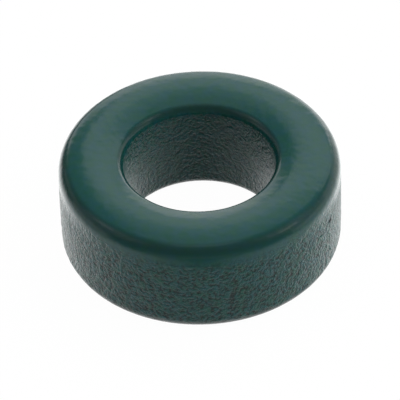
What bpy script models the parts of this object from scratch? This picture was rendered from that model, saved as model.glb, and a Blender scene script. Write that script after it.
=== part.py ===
"""A coated ferrite toroid core, standing on one end face.

The ring is one revolved solid. Its section is four walls, each a shallow arc, joined by four corner arcs:
the end faces swell towards a narrow flat land, and the outer wall and the bore wall draw back at half height,
which is the shape that a pressed core and its epoxy coat take. The origin is the centre of the lower face.
Metres, +Z along the axis of the bore.
"""

from math import atan2, cos, pi, radians, sin, sqrt

import bmesh
import bpy
from mathutils import Vector

# Driving sizes of the coated ring
OUTER_DIAMETER = 0.0182
BORE_DIAMETER = 0.0099
HEIGHT = 0.00715
OUTER_CORNER_RADIUS = 0.00095
BORE_CORNER_RADIUS = 0.00065
LAND_WIDTH = 0.0009
FACE_CROWN = 0.00011
OUTER_WAIST = 0.00005
BORE_WAIST = 0.00004

# A corner arc takes at most this share of the wall and of the half height that it rounds
MOST_CORNER_SHARE = 0.42

# How finely the curves are divided
STEPS_AROUND = 96
STEPS_PER_CORNER = 6
STEPS_PER_CROWN = 2
STEPS_PER_WALL = 4

COAT_GREEN = (0.027, 0.078, 0.066, 1.0)
COAT_ROUGHNESS = 0.34
SHARP_ANGLE = radians(40)


def clear_scene():
    for obj in list(bpy.data.objects):
        bpy.data.objects.remove(obj, do_unlink=True)


def coat_material():
    material = bpy.data.materials.new("green epoxy coat")
    material.use_nodes = True
    shader = material.node_tree.nodes["Principled BSDF"]
    shader.inputs["Base Color"].default_value = COAT_GREEN
    shader.inputs["Roughness"].default_value = COAT_ROUGHNESS
    shader.inputs["Metallic"].default_value = 0.0
    material.diffuse_color = COAT_GREEN
    return material


def arc(centre, radius, start, end, steps):
    """Points (r, z) on an arc from the angle start to the angle end, in radians, both ends included."""
    angles = [start + (end - start) * i / steps for i in range(steps + 1)]
    return [(centre[0] + radius * cos(a), centre[1] + radius * sin(a)) for a in angles]


def radius_for(span, fall):
    """The radius of a circle that falls by this much over this span, measured from its crest."""
    return (span**2 + fall**2) / (2 * fall)


def corner_radius(wanted):
    wall = (OUTER_DIAMETER - BORE_DIAMETER) / 2
    return min(wanted, MOST_CORNER_SHARE * wall, MOST_CORNER_SHARE * HEIGHT)


def upper_half(wall_radius, outward, corner, waist):
    """Half the section above mid height, as (r, z) points from the middle of one wall to the edge of the land.

    outward is 1 for the outer wall and -1 for the bore wall. The corner arc's centre is placed so that the arc just
    reaches the wall radius, and its crest lies FACE_CROWN below the land.
    """
    inner_corner = BORE_DIAMETER / 2 + corner_radius(BORE_CORNER_RADIUS)
    outer_corner = OUTER_DIAMETER / 2 - corner_radius(OUTER_CORNER_RADIUS)
    land_edge = (inner_corner + outer_corner) / 2 + outward * LAND_WIDTH / 2
    centre = Vector((wall_radius - outward * corner, HEIGHT - corner - FACE_CROWN))

    # The wall is an arc from outside the material, tangent to the corner arc and level at mid height
    rise = centre.y - HEIGHT / 2
    bow = radius_for(rise, waist) - corner
    bow_centre = Vector((wall_radius + outward * (bow - waist), HEIGHT / 2))
    lean = atan2(rise, abs(bow_centre.x - centre.x))

    # The crown is an arc from inside the material, tangent to the corner arc and level at the land's edge
    run = abs(centre.x - land_edge)
    crown = radius_for(run, FACE_CROWN) + corner
    crown_centre = Vector((land_edge, HEIGHT - crown))
    tilt = atan2(run, centre.y - crown_centre.y)

    if outward > 0:
        wall_points = arc(bow_centre, bow, pi, pi - lean, STEPS_PER_WALL // 2)
        corner_points = arc(centre, corner, -lean, pi / 2 - tilt, STEPS_PER_CORNER)
        crown_points = arc(crown_centre, crown, pi / 2 - tilt, pi / 2, STEPS_PER_CROWN)
    else:
        wall_points = arc(bow_centre, bow, 0, lean, STEPS_PER_WALL // 2)
        corner_points = arc(centre, corner, pi + lean, pi / 2 + tilt, STEPS_PER_CORNER)
        crown_points = arc(crown_centre, crown, pi / 2 + tilt, pi / 2, STEPS_PER_CROWN)
    return wall_points + corner_points[1:] + crown_points[1:]


def ring_section():
    """The closed section, from the middle of the outer wall over the upper face and back under the lower one."""
    outer = upper_half(OUTER_DIAMETER / 2, 1, corner_radius(OUTER_CORNER_RADIUS), OUTER_WAIST)
    inner = upper_half(BORE_DIAMETER / 2, -1, corner_radius(BORE_CORNER_RADIUS), BORE_WAIST)
    upper = outer + inner[::-1]
    lower = [(r, HEIGHT - z) for r, z in upper[-2:0:-1]]
    return upper + lower


def toroid_core():
    bm = bmesh.new()
    points = [bm.verts.new((r, 0, z)) for r, z in ring_section()]
    edges = [bm.edges.new((a, b)) for a, b in zip(points, points[1:] + points[:1])]
    bmesh.ops.spin(
        bm,
        geom=points + edges,
        cent=(0, 0, 0),
        axis=(0, 0, 1),
        angle=2 * pi,
        steps=STEPS_AROUND,
        use_merge=True,
    )
    bmesh.ops.recalc_face_normals(bm, faces=bm.faces)

    mesh = bpy.data.meshes.new("toroid_core")
    bm.to_mesh(mesh)
    bm.free()
    mesh.shade_smooth()
    mesh.set_sharp_from_angle(angle=SHARP_ANGLE)
    mesh.materials.append(coat_material())
    core = bpy.data.objects.new("toroid_core", mesh)
    bpy.context.scene.collection.objects.link(core)
    return core


def main():
    clear_scene()
    toroid_core()


if __name__ == "__main__":
    main()
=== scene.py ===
"""The looks of a coated ferrite toroid core, and the white studio that it is seen in.

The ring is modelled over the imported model, in the same frame: metres, +Z along the axis of the bore.
"""

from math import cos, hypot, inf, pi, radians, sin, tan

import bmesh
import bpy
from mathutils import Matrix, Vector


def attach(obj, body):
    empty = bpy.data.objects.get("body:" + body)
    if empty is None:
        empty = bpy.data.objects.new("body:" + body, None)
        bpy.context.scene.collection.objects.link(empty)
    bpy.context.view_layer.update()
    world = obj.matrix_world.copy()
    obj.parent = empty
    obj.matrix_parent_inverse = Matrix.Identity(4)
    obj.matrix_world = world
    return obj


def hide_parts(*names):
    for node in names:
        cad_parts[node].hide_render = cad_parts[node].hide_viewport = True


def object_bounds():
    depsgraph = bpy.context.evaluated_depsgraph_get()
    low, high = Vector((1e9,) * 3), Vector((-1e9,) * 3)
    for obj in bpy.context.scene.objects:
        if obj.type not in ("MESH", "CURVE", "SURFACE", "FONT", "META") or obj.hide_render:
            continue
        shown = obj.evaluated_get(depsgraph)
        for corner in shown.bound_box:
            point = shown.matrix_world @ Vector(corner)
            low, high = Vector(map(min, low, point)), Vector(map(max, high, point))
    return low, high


bl_info = {
    "name": "Coated toroid core",
    "version": (1, 0, 0),
    "blender": (4, 5, 0),
    "location": "3D View > Sidebar > Toroid core",
    "description": "Models an epoxy coated ferrite ring and a white studio around it",
    "category": "Add Mesh",
}

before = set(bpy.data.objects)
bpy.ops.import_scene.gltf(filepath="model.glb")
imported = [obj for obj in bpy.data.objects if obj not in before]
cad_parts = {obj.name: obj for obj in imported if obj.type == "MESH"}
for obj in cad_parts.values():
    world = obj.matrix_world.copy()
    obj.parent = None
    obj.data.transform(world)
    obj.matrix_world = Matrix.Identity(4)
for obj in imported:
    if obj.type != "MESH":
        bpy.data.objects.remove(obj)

NODE = "toroid_core"
BODY = "root"
MM = 0.001

CAD_LOW, CAD_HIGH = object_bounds()
CAD_RADII = [hypot(v.co.x, v.co.y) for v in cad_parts[NODE].data.vertices]

# The picture is square. These are its width, and the ring's width and middle in it, in pixels.
PICTURE_PX = 400
RING_WIDTH_PX = 282.2
RING_CENTRE_PX = (200.35, 195.8)

# How finely the section is divided, and how far its long arcs reach towards the corners
OUTER_CORNER_STEPS = 12
BORE_CORNER_STEPS = 10
CROWN_STEPS = 11
OUTER_WALL_STEPS = 48
BORE_WALL_STEPS = 52
ARC_REACH = 0.97
# A bevel with this profile bends evenly where two edges are almost in line
EVEN_PROFILE = 0.5625

# Points this close are merged
MERGE_DISTANCE = 0.0001 * MM
# A point this close to a place is the one that is meant
PLACE_TOLERANCE = 0.002 * MM

# Small pits in the coat of the outer wall: azimuth in degrees and height of the middle, half the length
# around the wall, half the height of the pit, and depth
PITS = (
    (334.2, 4.55 * MM, 0.2 * MM, 0.13 * MM, 0.13 * MM),
    (326.8, 4.26 * MM, 0.12 * MM, 0.09 * MM, 0.05 * MM),
    (334.9, 2.12 * MM, 0.1 * MM, 0.09 * MM, 0.05 * MM),
)
PIT_STEPS = 5
PIT_CUTS = 2
# The wall is divided finer out to this many times the size of a pit
PIT_ROOM = 1.8
# Places further out than this share of the ring's radius are on the outer wall
OUTER_WALL_FROM = 0.9

# The names that the shares of pebble and of painted corner shade are kept under, at each vertex
PEBBLE_SHARE = "pebble_share"
PAINTED_SHADE_SHARE = "painted_shade_share"
WALLS = "walls"
# Above the lower face the pebble comes in sooner: where it starts and the height over which it comes in, as
# shares of its start below the upper face
FOOT_START = 0.5
FOOT_FADE = 0.7

# The values of the patch noise that draw as all green and as all blue
GREEN_NOISE = 0.35
BLUE_NOISE = 0.65
# Cells of the pebble noise across one pebble
CELLS_PER_PEBBLE = 0.82
# The pebble noise values that draw as the darkest painted shade in a crease and as the lightest painted
# highlight on a crest, and how far that highlight lifts the colour
CREASE_NOISE = 0.36
CREST_NOISE = 0.56
PAINTED_CREST_LIGHT = 1.25

# The lamps: azimuth and rise of the middle, width and height, in degrees, radiance, where white paper is 1,
# and whether the ring reflects it. The fill lamps only lift the ring's own colour.
LAMP_DISTANCE = 0.6
SOFT_BOXES = (
    ("back wall, low", 90, 4, 20, 16, 1.1, True),
    ("back wall, bright end", 70, 4, 20, 16, 2.0, True),
    ("back wall, low right", 50, 4, 20, 16, 1.1, True),
    ("back wall, low corner", 30, 4, 20, 16, 0.8, True),
    ("right wall, low", 0, 4, 40, 16, 0.75, True),
    ("left wall, low", 180, 4, 40, 16, 0.5, True),
    ("back wall, middle", 90, 19, 60, 16, 1.3, True),
    ("back wall, middle right", 40, 20, 40, 16, 0.6, True),
    ("right wall, middle", 0, 20, 40, 16, 0.27, True),
    ("left wall, middle", 165, 20, 60, 16, 0.22, True),
    ("back wall, upper", 72, 38, 46, 16, 0.88, True),
    ("right soft box", -8, 42, 34, 30, 0.25, True),
    ("right soft box, core", -14, 38, 10, 12, 1.0, True),
    ("left soft box", 188, 44, 40, 28, 0.2, True),
    ("left soft box, core", 178, 43, 12, 12, 0.5, True),
    ("back cove", 82, 52, 30, 16, 0.45, True),
    ("overhead panel, back", 90, 69, 24, 18, 0.3, True),
    ("overhead panel, middle", -90, 88, 24, 18, 0.35, True),
    ("front wall, low", -90, 3, 80, 10, 0.2, True),
    ("fill, back", 90, 60, 60, 40, 1.35, False),
    ("fill, right", 0, 40, 60, 40, 2.6, False),
    ("fill, left", 180, 40, 60, 40, 0.4, False),
    ("fill, top", -90, 85, 60, 60, 0.3, False),
    ("fill, front", -90, 66, 60, 40, 0.5, False),
)
# The plain light of the room above the horizon
ROOM_LIGHT = 0.13
# How much of its white the floor gives off by itself, as the camera or a ray through glass sees it
FLOOR_GLOW_SEEN = 0.982
# What the ring's gloss sees below the horizon, in place of the white floor, matched to the photograph's
# reflections: beside, behind, in front, and straight down
BELOW_BESIDE = 4.0
BELOW_BEHIND = 11.5
BELOW_FRONT = 0.3
STRAIGHT_DOWN = 1.15
# How closely the light from straight down keeps to the foot
FOOT_SHARPNESS = 8.0
# Half the height of the soft step at the horizon, as the Z of a direction
HORIZON_STEP = 0.01


def linear(hex_colour):
    """A colour written as sRGB hex, as the linear numbers that Blender's sockets take."""
    shares = [int(hex_colour[i : i + 2], 16) / 255 for i in (1, 3, 5)]
    return tuple(s / 12.92 if s <= 0.04045 else ((s + 0.055) / 1.055) ** 2.4 for s in shares)


class RingSizes(bpy.types.PropertyGroup):
    outer_diameter: bpy.props.FloatProperty(
        name="Outer diameter", description="Across the coated ring",
        default=2 * max(CAD_RADII), unit="LENGTH",
    )
    bore_diameter: bpy.props.FloatProperty(
        name="Bore", description="Clear diameter of the hole",
        default=2 * min(CAD_RADII) - 0.15 * MM, unit="LENGTH",
    )
    height: bpy.props.FloatProperty(
        name="Height", description="From face to face",
        default=CAD_HIGH.z - CAD_LOW.z, unit="LENGTH",
    )
    outer_corner: bpy.props.FloatProperty(
        name="Outer corner", description="Radius between each face and the outer wall",
        default=0.97 * MM, unit="LENGTH",
    )
    bore_corner: bpy.props.FloatProperty(
        name="Bore corner", description="Radius between each face and the bore",
        default=0.6 * MM, unit="LENGTH",
    )
    face_slope: bpy.props.FloatProperty(
        name="Face slope", description="How steeply each swollen face falls where it meets its corners",
        default=radians(13), subtype="ANGLE",
    )
    belly: bpy.props.FloatProperty(
        name="Belly", description="How far the outer wall stands out at half height",
        default=0.03 * MM, unit="LENGTH",
    )
    around: bpy.props.IntProperty(
        name="Steps around", description="Faces in one turn of the ring", default=556,
    )


class CoatFinish(bpy.types.PropertyGroup):
    colour: bpy.props.FloatVectorProperty(
        name="Coat", description="Pigment of the epoxy",
        default=linear("#13473d"), subtype="COLOR", min=0, max=1,
    )
    cool_colour: bpy.props.FloatVectorProperty(
        name="Coat, cool", description="Pigment where the coat looks bluer",
        default=linear("#144649"), subtype="COLOR", min=0, max=1,
    )
    patch_width: bpy.props.FloatProperty(
        name="Patches", description="Width of one greener or bluer patch of the coat",
        default=0.6 * MM, unit="LENGTH",
    )
    # Painted shade: the dark green that the corners' colour is mixed towards
    ferrite: bpy.props.FloatVectorProperty(
        name="Ferrite", description="The core's own colour under a thin coat",
        default=linear("#0c1e1b"), subtype="COLOR", min=0, max=1,
    )
    # How far the corners' colour is mixed towards that painted shade
    painted_corner_shade: bpy.props.FloatProperty(
        name="Thin corners", description="How much of the ferrite shows through at the corners",
        default=0.55, subtype="FACTOR", min=0, max=1,
    )
    roughness: bpy.props.FloatProperty(
        name="Roughness", description="Of the smooth faces and corners",
        default=0.2, subtype="FACTOR", min=0, max=1,
    )
    wall_roughness: bpy.props.FloatProperty(
        name="Roughness, walls", description="Of the walls, where the coat cured dry between the pebbles",
        default=0.38, subtype="FACTOR", min=0, max=1,
    )
    pebble_width: bpy.props.FloatProperty(
        name="Pebble", description="Width of one fine pebble on the walls",
        default=0.18 * MM, unit="LENGTH",
    )
    pebble_depth: bpy.props.FloatProperty(
        name="Pebble depth", description="Height of the fine pebble, which is drawn as bump",
        default=0.17 * MM, unit="LENGTH",
    )
    # Painted shade: how far the colour is darkened in the creases between the pebbles
    painted_crease_shade: bpy.props.FloatProperty(
        name="Crease shade", description="How dark the creases between the pebbles are",
        default=0.25, subtype="FACTOR", min=0, max=1,
    )
    bore_grain: bpy.props.FloatProperty(
        name="Bore grain", description="How much of the pebble and the lumps the bore has",
        default=0.6, subtype="FACTOR", min=0, max=1,
    )
    lump_width: bpy.props.FloatProperty(
        name="Lump", description="Width of the larger lumps on the walls",
        default=0.5 * MM, unit="LENGTH",
    )
    lump_depth: bpy.props.FloatProperty(
        name="Lump depth", description="Depth between the larger lumps on the walls",
        default=0.055 * MM, unit="LENGTH",
    )
    sag_width: bpy.props.FloatProperty(
        name="Sag", description="Width of the slow waves where the coat flowed",
        default=2.6 * MM, unit="LENGTH",
    )
    sag_depth: bpy.props.FloatProperty(
        name="Sag depth", description="Depth of the slow waves where the coat flowed",
        default=0.013 * MM, unit="LENGTH",
    )
    peel_width: bpy.props.FloatProperty(
        name="Peel", description="Width of the shallow ripples that the coat has everywhere",
        default=0.7 * MM, unit="LENGTH",
    )
    peel_depth: bpy.props.FloatProperty(
        name="Peel depth", description="Height of the shallow ripples, which are drawn as bump",
        default=0.022 * MM, unit="LENGTH",
    )
    outer_start: bpy.props.FloatProperty(
        name="Start, outer", description="How far below the upper face the outer wall's pebble starts",
        default=0.76 * MM, unit="LENGTH",
    )
    outer_fade: bpy.props.FloatProperty(
        name="Fade, outer", description="Height over which the outer wall's pebble comes in",
        default=1.7 * MM, unit="LENGTH",
    )
    bore_start: bpy.props.FloatProperty(
        name="Start, bore", description="How far below the upper face the bore's pebble starts",
        default=0.52 * MM, unit="LENGTH",
    )
    bore_fade: bpy.props.FloatProperty(
        name="Fade, bore", description="Height over which the bore's pebble comes in",
        default=0.5 * MM, unit="LENGTH",
    )


class Studio(bpy.types.PropertyGroup):
    camera_rise: bpy.props.FloatProperty(
        name="Camera rise", description="Angle of the camera above the floor",
        default=radians(41.7), subtype="ANGLE",
    )
    camera_roll: bpy.props.FloatProperty(
        name="Camera roll", description="Turn of the camera about its own line of sight",
        default=radians(1.8), subtype="ANGLE",
    )
    camera_distance: bpy.props.FloatProperty(
        name="Camera distance", description="From the middle of the ring",
        default=0.273, unit="LENGTH",
    )
    floor_width: bpy.props.FloatProperty(
        name="Floor", description="Width of the floor", default=2.0, unit="LENGTH",
    )
    floor_colour: bpy.props.FloatVectorProperty(
        name="Floor colour", description="Paint of the floor",
        default=linear("#f4f4f4"), subtype="COLOR", min=0, max=1,
    )


def ease(share):
    """A smooth step from 0 to 1, flat outside."""
    share = min(1.0, max(0.0, share))
    return share * share * (3 - 2 * share)


def near(a, b):
    return abs(a - b) < PLACE_TOLERANCE


def only_selected(obj):
    bpy.ops.object.select_all(action="DESELECT")
    obj.select_set(True)
    bpy.context.view_layer.objects.active = obj


def select_verts(obj, test):
    """In edit mode, selects the vertices whose place passes the test."""
    bpy.ops.mesh.select_mode(type="VERT")
    bpy.ops.mesh.select_all(action="DESELECT")
    mesh = bmesh.from_edit_mesh(obj.data)
    for vert in mesh.verts:
        vert.select_set(test(vert.co))
    mesh.select_flush_mode()
    bmesh.update_edit_mesh(obj.data)


def apply_modifier(obj, kind, name, **settings):
    modifier = obj.modifiers.new(name, kind)
    for setting, value in settings.items():
        setattr(modifier, setting, value)
    only_selected(obj)
    bpy.ops.object.modifier_apply(modifier=modifier.name)


def pull_point(ring, test, way):
    """Moves the chosen point of the section."""
    select_verts(ring, test)
    bpy.ops.transform.translate(value=way)


def round_point(ring, test, reach, steps):
    """Rounds the chosen point of the section into a long even arc."""
    select_verts(ring, test)
    bpy.ops.mesh.bevel(offset=reach, segments=steps, profile=EVEN_PROFILE, affect="VERTICES")


def section(sizes):
    """The ring's section, from a plane of one face.

    The middles of the end faces and of the outer wall are pulled out. Then the corners are bevelled round, so
    that they run on from the slope of their sides, and the middle of each side is rounded into an arc that
    almost reaches the corners.
    """
    inner, outer = sizes.bore_diameter / 2, sizes.outer_diameter / 2
    centre = Vector(((inner + outer) / 2, 0, sizes.height / 2))
    wall = outer - inner
    slope = sizes.face_slope
    # How far along its sides a bevel of radius 1 starts
    cut = tan((pi / 2 - slope) / 2)
    # How far the arc of an end face reaches to each side, and how far its middle is first pulled out
    across = ARC_REACH * (wall / 2 - cut * max(sizes.outer_corner, sizes.bore_corner))
    rise = tan(slope) * wall / 2
    # The height between the sharp corners, which leaves room for both rounded faces
    side = sizes.height - 2 * (rise - tan(slope) * across / 2)

    def face_middle(up):
        return lambda co: near(co.x, centre.x) and (co.z - centre.z) * up > 0

    def wall_middle(out):
        return lambda co: near(co.z, centre.z) and (co.x - centre.x) * out > 0

    bpy.ops.object.select_all(action="DESELECT")
    bpy.ops.mesh.primitive_plane_add(size=1, location=centre, rotation=(pi / 2, 0, 0))
    ring = bpy.context.object
    ring.name = "coated_ring"
    ring.data.name = "coated_ring"
    bpy.ops.object.transform_apply(location=True, rotation=True, scale=True)

    bpy.ops.object.mode_set(mode="EDIT")
    bpy.ops.mesh.select_all(action="SELECT")
    bpy.ops.transform.resize(value=(wall, 1, side), center_override=centre)
    bpy.ops.mesh.subdivide(number_cuts=1)
    select_verts(ring, lambda co: near(co.x, centre.x) and near(co.z, centre.z))
    bpy.ops.mesh.dissolve_verts()
    for up in (1, -1):
        pull_point(ring, face_middle(up), (0, 0, up * rise))
    pull_point(ring, wall_middle(1), (2 * sizes.belly, 0, 0))
    for radius, corner, steps in (
        (outer, sizes.outer_corner, OUTER_CORNER_STEPS),
        (inner, sizes.bore_corner, BORE_CORNER_STEPS),
    ):
        select_verts(ring, lambda co: near(co.x, radius) and not near(co.z, centre.z))
        bpy.ops.mesh.bevel(offset=cut * corner, segments=steps, profile=0.5, affect="VERTICES")

    for up in (1, -1):
        round_point(ring, face_middle(up), across, CROWN_STEPS)
    for out, corner, steps in (
        (1, sizes.outer_corner, OUTER_WALL_STEPS),
        (-1, sizes.bore_corner, BORE_WALL_STEPS),
    ):
        round_point(ring, wall_middle(out), ARC_REACH * (side / 2 - cut * corner), steps)
    fit_section(ring, (inner, outer), (0, sizes.height))
    return ring


def fit_section(ring, radii, heights):
    """Resizes the section to the exact radii and heights, which the bevels took a little off."""
    places = [vert.co for vert in bmesh.from_edit_mesh(ring.data).verts]
    scale, shift = Vector((1, 1, 1)), Vector((0, 0, 0))
    for axis, (low, high) in ((0, radii), (2, heights)):
        found = [place[axis] for place in places]
        scale[axis] = (high - low) / (max(found) - min(found))
        shift[axis] = low - min(found) * scale[axis]
    bpy.ops.mesh.select_all(action="SELECT")
    bpy.ops.transform.resize(value=scale, center_override=(0, 0, 0))
    bpy.ops.transform.translate(value=shift)


def turn_section(ring, around):
    """One full turn of the section about the axis of the bore, closed and facing outwards."""
    bpy.ops.mesh.select_all(action="SELECT")
    bpy.ops.mesh.delete(type="ONLY_FACE")
    bpy.ops.object.mode_set(mode="OBJECT")
    apply_modifier(
        ring, "SCREW", "turn", angle=2 * pi, steps=around, render_steps=around,
        use_merge_vertices=True, merge_threshold=MERGE_DISTANCE,
    )
    bpy.ops.object.mode_set(mode="EDIT")
    bpy.ops.mesh.select_all(action="SELECT")
    bpy.ops.mesh.remove_doubles(threshold=MERGE_DISTANCE)
    bpy.ops.mesh.normals_make_consistent(inside=False)
    bpy.ops.object.mode_set(mode="OBJECT")


def pebble_share(place, sizes, coat):
    """How much of the pebble shows at a place: all on the walls, none on the faces and corners."""
    on_outer_wall = hypot(place.x, place.y) > (sizes.outer_diameter + sizes.bore_diameter) / 4
    start, fade, most = (
        (coat.outer_start, coat.outer_fade, 1.0)
        if on_outer_wall
        else (coat.bore_start, coat.bore_fade, coat.bore_grain)
    )
    from_top = ease((sizes.height - place.z - start) / fade)
    from_bottom = ease((place.z - FOOT_START * start) / (FOOT_FADE * start))
    return most * from_top * from_bottom


def press_pits(ring, sizes):
    """Small pits in the coat of the outer wall. The wall is divided finer there first."""
    radius = sizes.outer_diameter / 2
    pits = [(radians(azimuth), *rest) for azimuth, *rest in PITS]

    def reach(place, pit):
        """How far a place is from a pit's middle, where the pit's edge is 1."""
        azimuth, height, length, rise = pit[:4]
        around = place.y * cos(azimuth) - place.x * sin(azimuth)
        outwards = place.x * cos(azimuth) + place.y * sin(azimuth)
        if outwards < OUTER_WALL_FROM * radius:
            return inf
        return hypot(around / length, (place.z - height) / rise)

    bpy.ops.object.mode_set(mode="EDIT")
    select_verts(ring, lambda co: any(reach(co, pit) < PIT_ROOM for pit in pits))
    bpy.ops.mesh.subdivide(number_cuts=PIT_CUTS)
    for pit in pits:
        azimuth, depth = pit[0], pit[-1]
        inwards = Vector((-cos(azimuth), -sin(azimuth), 0)) * depth / PIT_STEPS
        for step in range(PIT_STEPS):
            select_verts(ring, lambda co: reach(co, pit) < 1 - step / PIT_STEPS)
            bpy.ops.transform.translate(value=inwards)
    bpy.ops.object.mode_set(mode="OBJECT")


def lumpy_texture(name, width):
    texture = bpy.data.textures.new(name, "CLOUDS")
    texture.noise_scale = width
    texture.noise_depth = 1
    return texture


def roughen(ring, sizes, coat):
    """The waves and lumps that are large enough to model. They only cut in, so the ring stays in its size."""
    shares = [pebble_share(vert.co, sizes, coat) for vert in ring.data.vertices]
    # Where the corners get painted shade: 1 where the surface leans at 45 degrees, and 0 where it is level or
    # upright
    corners = [4 * vert.normal.z**2 * (1 - vert.normal.z**2) for vert in ring.data.vertices]
    group = ring.vertex_groups.new(name=WALLS)
    for index, share in enumerate(shares):
        if share > 0:
            group.add([index], share, "REPLACE")
    for name, values in ((PEBBLE_SHARE, shares), (PAINTED_SHADE_SHARE, corners)):
        attribute = ring.data.attributes.new(name, "FLOAT", "POINT")
        attribute.data.foreach_set("value", values)
    apply_modifier(
        ring, "DISPLACE", "sags", texture=lumpy_texture("sags", coat.sag_width),
        strength=coat.sag_depth, mid_level=1.0,
    )
    apply_modifier(
        ring, "DISPLACE", "lumps", texture=lumpy_texture("lumps", coat.lump_width),
        strength=coat.lump_depth, mid_level=1.0, vertex_group=WALLS,
    )
    ring.vertex_groups.clear()


def add_node(tree, kind, properties=None, inputs=None):
    """Adds a shader node. Each of its inputs is given a number, a colour or another node's output."""
    made = tree.nodes.new(kind)
    for name, value in (properties or {}).items():
        setattr(made, name, value)
    for name, value in (inputs or {}).items():
        if isinstance(value, bpy.types.NodeSocket):
            tree.links.new(value, made.inputs[name])
        else:
            made.inputs[name].default_value = value
    return made


def sprayed_epoxy(coat):
    """Green epoxy powder, sprayed on ferrite and cured.

    It flowed smooth on the faces and corners, which gives them a satin reflection, and cured over the coarser
    walls as a fine pebble, which breaks the reflection up into grain.
    """
    material = bpy.data.materials.new("sprayed green epoxy, cured satin")
    material.use_nodes = True
    tree = material.node_tree
    shader = tree.nodes["Principled BSDF"]
    place = add_node(tree, "ShaderNodeTexCoord").outputs["Object"]
    share = add_node(tree, "ShaderNodeAttribute", {"attribute_name": PEBBLE_SHARE}).outputs["Fac"]

    # The coat isn't the same green all over: patches of it look bluer
    patches = add_node(
        tree, "ShaderNodeTexNoise", None, {"Vector": place, "Scale": 1 / coat.patch_width, "Detail": 3.0}
    )
    blueness = add_node(
        tree, "ShaderNodeMapRange", None,
        {"Value": patches.outputs["Fac"], "From Min": GREEN_NOISE, "From Max": BLUE_NOISE},
    )
    colour = add_node(
        tree, "ShaderNodeMix", {"data_type": "RGBA"},
        {0: blueness.outputs["Result"], 6: (*coat.colour, 1), 7: (*coat.cool_colour, 1)},
    )
    pebble = add_node(
        tree, "ShaderNodeTexNoise", None,
        {"Vector": place, "Scale": CELLS_PER_PEBBLE / coat.pebble_width, "Detail": 2.0, "Roughness": 0.6},
    )
    # Painted shade in the creases between the pebbles and a painted highlight on their crests, on the walls
    shade = add_node(
        tree, "ShaderNodeMapRange", None,
        {"Value": pebble.outputs["Fac"], "From Min": CREASE_NOISE, "From Max": CREST_NOISE,
         "To Min": coat.painted_crease_shade, "To Max": PAINTED_CREST_LIGHT},
    )
    colour = add_node(
        tree, "ShaderNodeMix", {"data_type": "RGBA", "blend_type": "MULTIPLY"},
        {0: share, 6: colour.outputs[2], 7: shade.outputs["Result"]},
    )
    # Painted shade on the corners: where the surface leans, the colour is mixed towards a dark green
    corner = add_node(tree, "ShaderNodeAttribute", {"attribute_name": PAINTED_SHADE_SHARE}).outputs["Fac"]
    thin = add_node(tree, "ShaderNodeMath", {"operation": "MULTIPLY"}, {0: corner, 1: coat.painted_corner_shade})
    colour = add_node(
        tree, "ShaderNodeMix", {"data_type": "RGBA"},
        {0: thin.outputs[0], 6: colour.outputs[2], 7: (*coat.ferrite, 1)},
    )
    tree.links.new(colour.outputs[2], shader.inputs["Base Color"])

    # Heights in metres: the pebble where the walls have it, and the ripples of the flowed coat everywhere
    peel = add_node(
        tree, "ShaderNodeTexNoise", None, {"Vector": place, "Scale": 1 / coat.peel_width, "Detail": 1.0}
    )
    peel_height = add_node(
        tree, "ShaderNodeMath", {"operation": "MULTIPLY"}, {0: peel.outputs["Fac"], 1: coat.peel_depth}
    )
    pebble_depth = add_node(
        tree, "ShaderNodeMath", {"operation": "MULTIPLY"}, {0: share, 1: coat.pebble_depth}
    )
    height = add_node(
        tree, "ShaderNodeMath", {"operation": "MULTIPLY_ADD"},
        {0: pebble.outputs["Fac"], 1: pebble_depth.outputs[0], 2: peel_height.outputs[0]},
    )
    grain = add_node(
        tree, "ShaderNodeBump", None, {"Height": height.outputs[0], "Strength": 1.0, "Distance": 1.0}
    )
    tree.links.new(grain.outputs["Normal"], shader.inputs["Normal"])

    roughness = add_node(
        tree, "ShaderNodeMath", {"operation": "MULTIPLY_ADD"},
        {0: share, 1: coat.wall_roughness - coat.roughness, 2: coat.roughness},
    )
    tree.links.new(roughness.outputs[0], shader.inputs["Roughness"])
    shader.inputs["IOR"].default_value = 1.5
    shader.inputs["Metallic"].default_value = 0.0
    return material


class TOROID_OT_coated_ring(bpy.types.Operator):
    """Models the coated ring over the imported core"""

    bl_idname = "toroid.coated_ring"
    bl_label = "Coated ring"

    def execute(self, context):
        sizes, coat = context.scene.toroid_sizes, context.scene.toroid_coat
        ring = section(sizes)
        turn_section(ring, sizes.around)
        roughen(ring, sizes, coat)
        only_selected(ring)
        press_pits(ring, sizes)
        bpy.ops.object.shade_smooth()
        ring.data.materials.append(sprayed_epoxy(coat))
        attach(ring, BODY)
        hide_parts(NODE)
        return {"FINISHED"}


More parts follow.
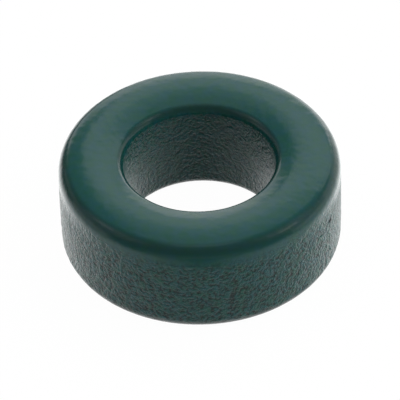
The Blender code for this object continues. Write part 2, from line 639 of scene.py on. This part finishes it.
def white_world(scene):
    """Plain white round the picture, as the camera sees it, and the surroundings that light the ring.

    Above the horizon they are a plain dim room. Below it they stand in for the floor in the ring's gloss, and
    are brightest behind the ring and darkest in front of it.
    """
    world = bpy.data.worlds.new("studio")
    scene.world = world
    world.use_nodes = True
    tree = world.node_tree
    rays = add_node(tree, "ShaderNodeLightPath")
    direction = add_node(tree, "ShaderNodeTexCoord").outputs["Generated"]
    parts = add_node(tree, "ShaderNodeVectorMath", {"operation": "ABSOLUTE"}, {0: direction}).outputs[0]
    upright = add_node(tree, "ShaderNodeSeparateXYZ", None, {0: direction}).outputs["Z"]
    steep = add_node(tree, "ShaderNodeSeparateXYZ", None, {0: parts}).outputs["Z"]
    # The sides are an even light all round and one that leans to the back
    around = add_node(
        tree, "ShaderNodeVectorMath", {"operation": "DOT_PRODUCT"},
        {0: parts, 1: (BELOW_BESIDE, (BELOW_BEHIND + BELOW_FRONT) / 2, 0)},
    )
    lean = add_node(
        tree, "ShaderNodeVectorMath", {"operation": "DOT_PRODUCT"},
        {0: direction, 1: (0, (BELOW_BEHIND - BELOW_FRONT) / 2, 0)},
    )
    sides = add_node(
        tree, "ShaderNodeMath", {"operation": "ADD"}, {0: around.outputs["Value"], 1: lean.outputs["Value"]}
    )
    # They are brightest 26 degrees below the horizon, and fade both towards it and towards the foot
    flat = add_node(tree, "ShaderNodeMath", {"operation": "SUBTRACT"}, {0: 1.0, 1: steep})
    band = add_node(tree, "ShaderNodeMath", {"operation": "MULTIPLY"}, {0: flat.outputs[0], 1: steep})
    banded = add_node(
        tree, "ShaderNodeMath", {"operation": "MULTIPLY"}, {0: sides.outputs[0], 1: band.outputs[0]}
    )
    foot = add_node(tree, "ShaderNodeMath", {"operation": "POWER"}, {0: steep, 1: FOOT_SHARPNESS})
    below = add_node(
        tree, "ShaderNodeMath", {"operation": "MULTIPLY_ADD"},
        {0: foot.outputs[0], 1: STRAIGHT_DOWN, 2: banded.outputs[0]},
    )
    level = add_node(
        tree, "ShaderNodeMapRange", None,
        {"Value": upright, "From Min": -HORIZON_STEP, "From Max": HORIZON_STEP,
         "To Min": below.outputs[0], "To Max": ROOM_LIGHT},
    )
    room = tree.nodes["Background"]
    room.inputs["Color"].default_value = (1, 1, 1, 1)
    tree.links.new(level.outputs["Result"], room.inputs["Strength"])
    white = add_node(tree, "ShaderNodeBackground", None, {"Color": (1, 1, 1, 1), "Strength": 1.0})
    shown = add_node(
        tree, "ShaderNodeMixShader", None,
        {0: rays.outputs["Is Camera Ray"], 1: room.outputs[0], 2: white.outputs[0]},
    )
    tree.links.new(shown.outputs[0], tree.nodes["World Output"].inputs["Surface"])


def white_floor(scene, studio):
    """The table top under the ring, painted white and large enough to fill the picture.

    The camera sees it almost wholly as its own plain white, so the ring's shadow on it is very faint.
    """
    bpy.ops.object.select_all(action="DESELECT")
    bpy.ops.mesh.primitive_plane_add(size=studio.floor_width, location=(0, 0, 0))
    floor = bpy.context.object
    floor.name = "floor"
    floor.data.name = "floor"
    material = bpy.data.materials.new("matt white paint")
    material.use_nodes = True
    tree = material.node_tree
    tree.nodes.clear()
    rays = add_node(tree, "ShaderNodeLightPath")
    paint = add_node(tree, "ShaderNodeBsdfDiffuse", None, {"Color": (*studio.floor_colour, 1)})
    white = add_node(tree, "ShaderNodeEmission", None, {"Color": (1, 1, 1, 1), "Strength": 1.0})
    in_view = add_node(
        tree, "ShaderNodeMath", {"operation": "ADD"},
        {0: rays.outputs["Is Camera Ray"], 1: rays.outputs["Is Transmission Ray"]},
    )
    share = add_node(
        tree, "ShaderNodeMath", {"operation": "MULTIPLY"}, {0: in_view.outputs[0], 1: FLOOR_GLOW_SEEN}
    )
    shown = add_node(
        tree, "ShaderNodeMixShader", None,
        {0: share.outputs[0], 1: paint.outputs[0], 2: white.outputs[0]},
    )
    surface = add_node(tree, "ShaderNodeOutputMaterial")
    tree.links.new(shown.outputs[0], surface.inputs["Surface"])
    floor.data.materials.append(material)
    # The ring's gloss sees the surroundings below the horizon in place of the floor
    floor.visible_glossy = False


def soft_box(scene, name, azimuth, rise, width, height, radiance, reflected):
    """A rectangular lamp turned to the ring. Its place and size are angles, as the ring sees them."""
    data = bpy.data.lights.new(name, "AREA")
    data.shape = "RECTANGLE"
    data.size = 2 * LAMP_DISTANCE * tan(radians(width / 2))
    data.size_y = 2 * LAMP_DISTANCE * tan(radians(height / 2))
    # The power that gives this radiance over the whole area
    data.energy = radiance * data.size * data.size_y * pi
    lamp = bpy.data.objects.new(name, data)
    scene.collection.objects.link(lamp)
    a, e = radians(azimuth), radians(rise)
    lamp.location = LAMP_DISTANCE * Vector((cos(a) * cos(e), sin(a) * cos(e), sin(e)))
    lamp.rotation_euler = lamp.location.to_track_quat("Z", "Y").to_euler()
    lamp.visible_camera = False
    lamp.visible_glossy = reflected


def add_camera(scene, studio):
    """The camera, placed so that the ring has the photograph's place, size and tilt in the picture."""
    data = bpy.data.cameras.new("camera")
    camera = bpy.data.objects.new("camera", data)
    scene.collection.objects.link(camera)
    scene.camera = camera
    pixels_per_metre = RING_WIDTH_PX / scene.toroid_sizes.outer_diameter
    data.lens = data.sensor_width * pixels_per_metre * studio.camera_distance / PICTURE_PX
    data.clip_start = studio.camera_distance / 100
    data.clip_end = studio.camera_distance * 100

    rise, roll = studio.camera_rise, studio.camera_roll
    back = Vector((0, -cos(rise), sin(rise)))
    right = Vector((1, 0, 0))
    up = back.cross(right)
    turned_right = right * cos(roll) - up * sin(roll)
    turned_up = up * cos(roll) + right * sin(roll)
    middle = Vector((0, 0, scene.toroid_sizes.height / 2))
    off_x = (RING_CENTRE_PX[0] - PICTURE_PX / 2) / pixels_per_metre
    off_y = (PICTURE_PX / 2 - RING_CENTRE_PX[1]) / pixels_per_metre
    target = middle - turned_right * off_x - turned_up * off_y
    turn = Matrix((turned_right, turned_up, back)).transposed().to_4x4()
    camera.matrix_world = Matrix.Translation(target + back * studio.camera_distance) @ turn


class TOROID_OT_studio(bpy.types.Operator):
    """Makes the floor, the lamps, the white surroundings and the camera"""

    bl_idname = "toroid.studio"
    bl_label = "White studio"

    def execute(self, context):
        scene = context.scene
        scene.view_settings.view_transform = "Standard"
        white_world(scene)
        white_floor(scene, scene.toroid_studio)
        for lamp in SOFT_BOXES:
            soft_box(scene, *lamp)
        add_camera(scene, scene.toroid_studio)
        return {"FINISHED"}


class TOROID_PT_panel(bpy.types.Panel):
    """The ring's sizes and finish, and the studio's settings"""

    bl_idname = "TOROID_PT_panel"
    bl_label = "Toroid core"
    bl_space_type = "VIEW_3D"
    bl_region_type = "UI"
    bl_category = "Toroid core"

    def draw(self, context):
        for group, operator in (
            (context.scene.toroid_sizes, None),
            (context.scene.toroid_coat, "toroid.coated_ring"),
            (context.scene.toroid_studio, "toroid.studio"),
        ):
            box = self.layout.box()
            for name in group.__annotations__:
                box.prop(group, name)
            if operator:
                box.operator(operator)


CLASSES = (
    RingSizes,
    CoatFinish,
    Studio,
    TOROID_OT_coated_ring,
    TOROID_OT_studio,
    TOROID_PT_panel,
)


def register():
    for cls in CLASSES:
        bpy.utils.register_class(cls)
    bpy.types.Scene.toroid_sizes = bpy.props.PointerProperty(type=RingSizes)
    bpy.types.Scene.toroid_coat = bpy.props.PointerProperty(type=CoatFinish)
    bpy.types.Scene.toroid_studio = bpy.props.PointerProperty(type=Studio)


def unregister():
    for name in ("toroid_sizes", "toroid_coat", "toroid_studio"):
        delattr(bpy.types.Scene, name)
    for cls in reversed(CLASSES):
        bpy.utils.unregister_class(cls)


def main():
    register()
    bpy.ops.toroid.coated_ring()
    bpy.ops.toroid.studio()


if __name__ == "__main__":
    main()
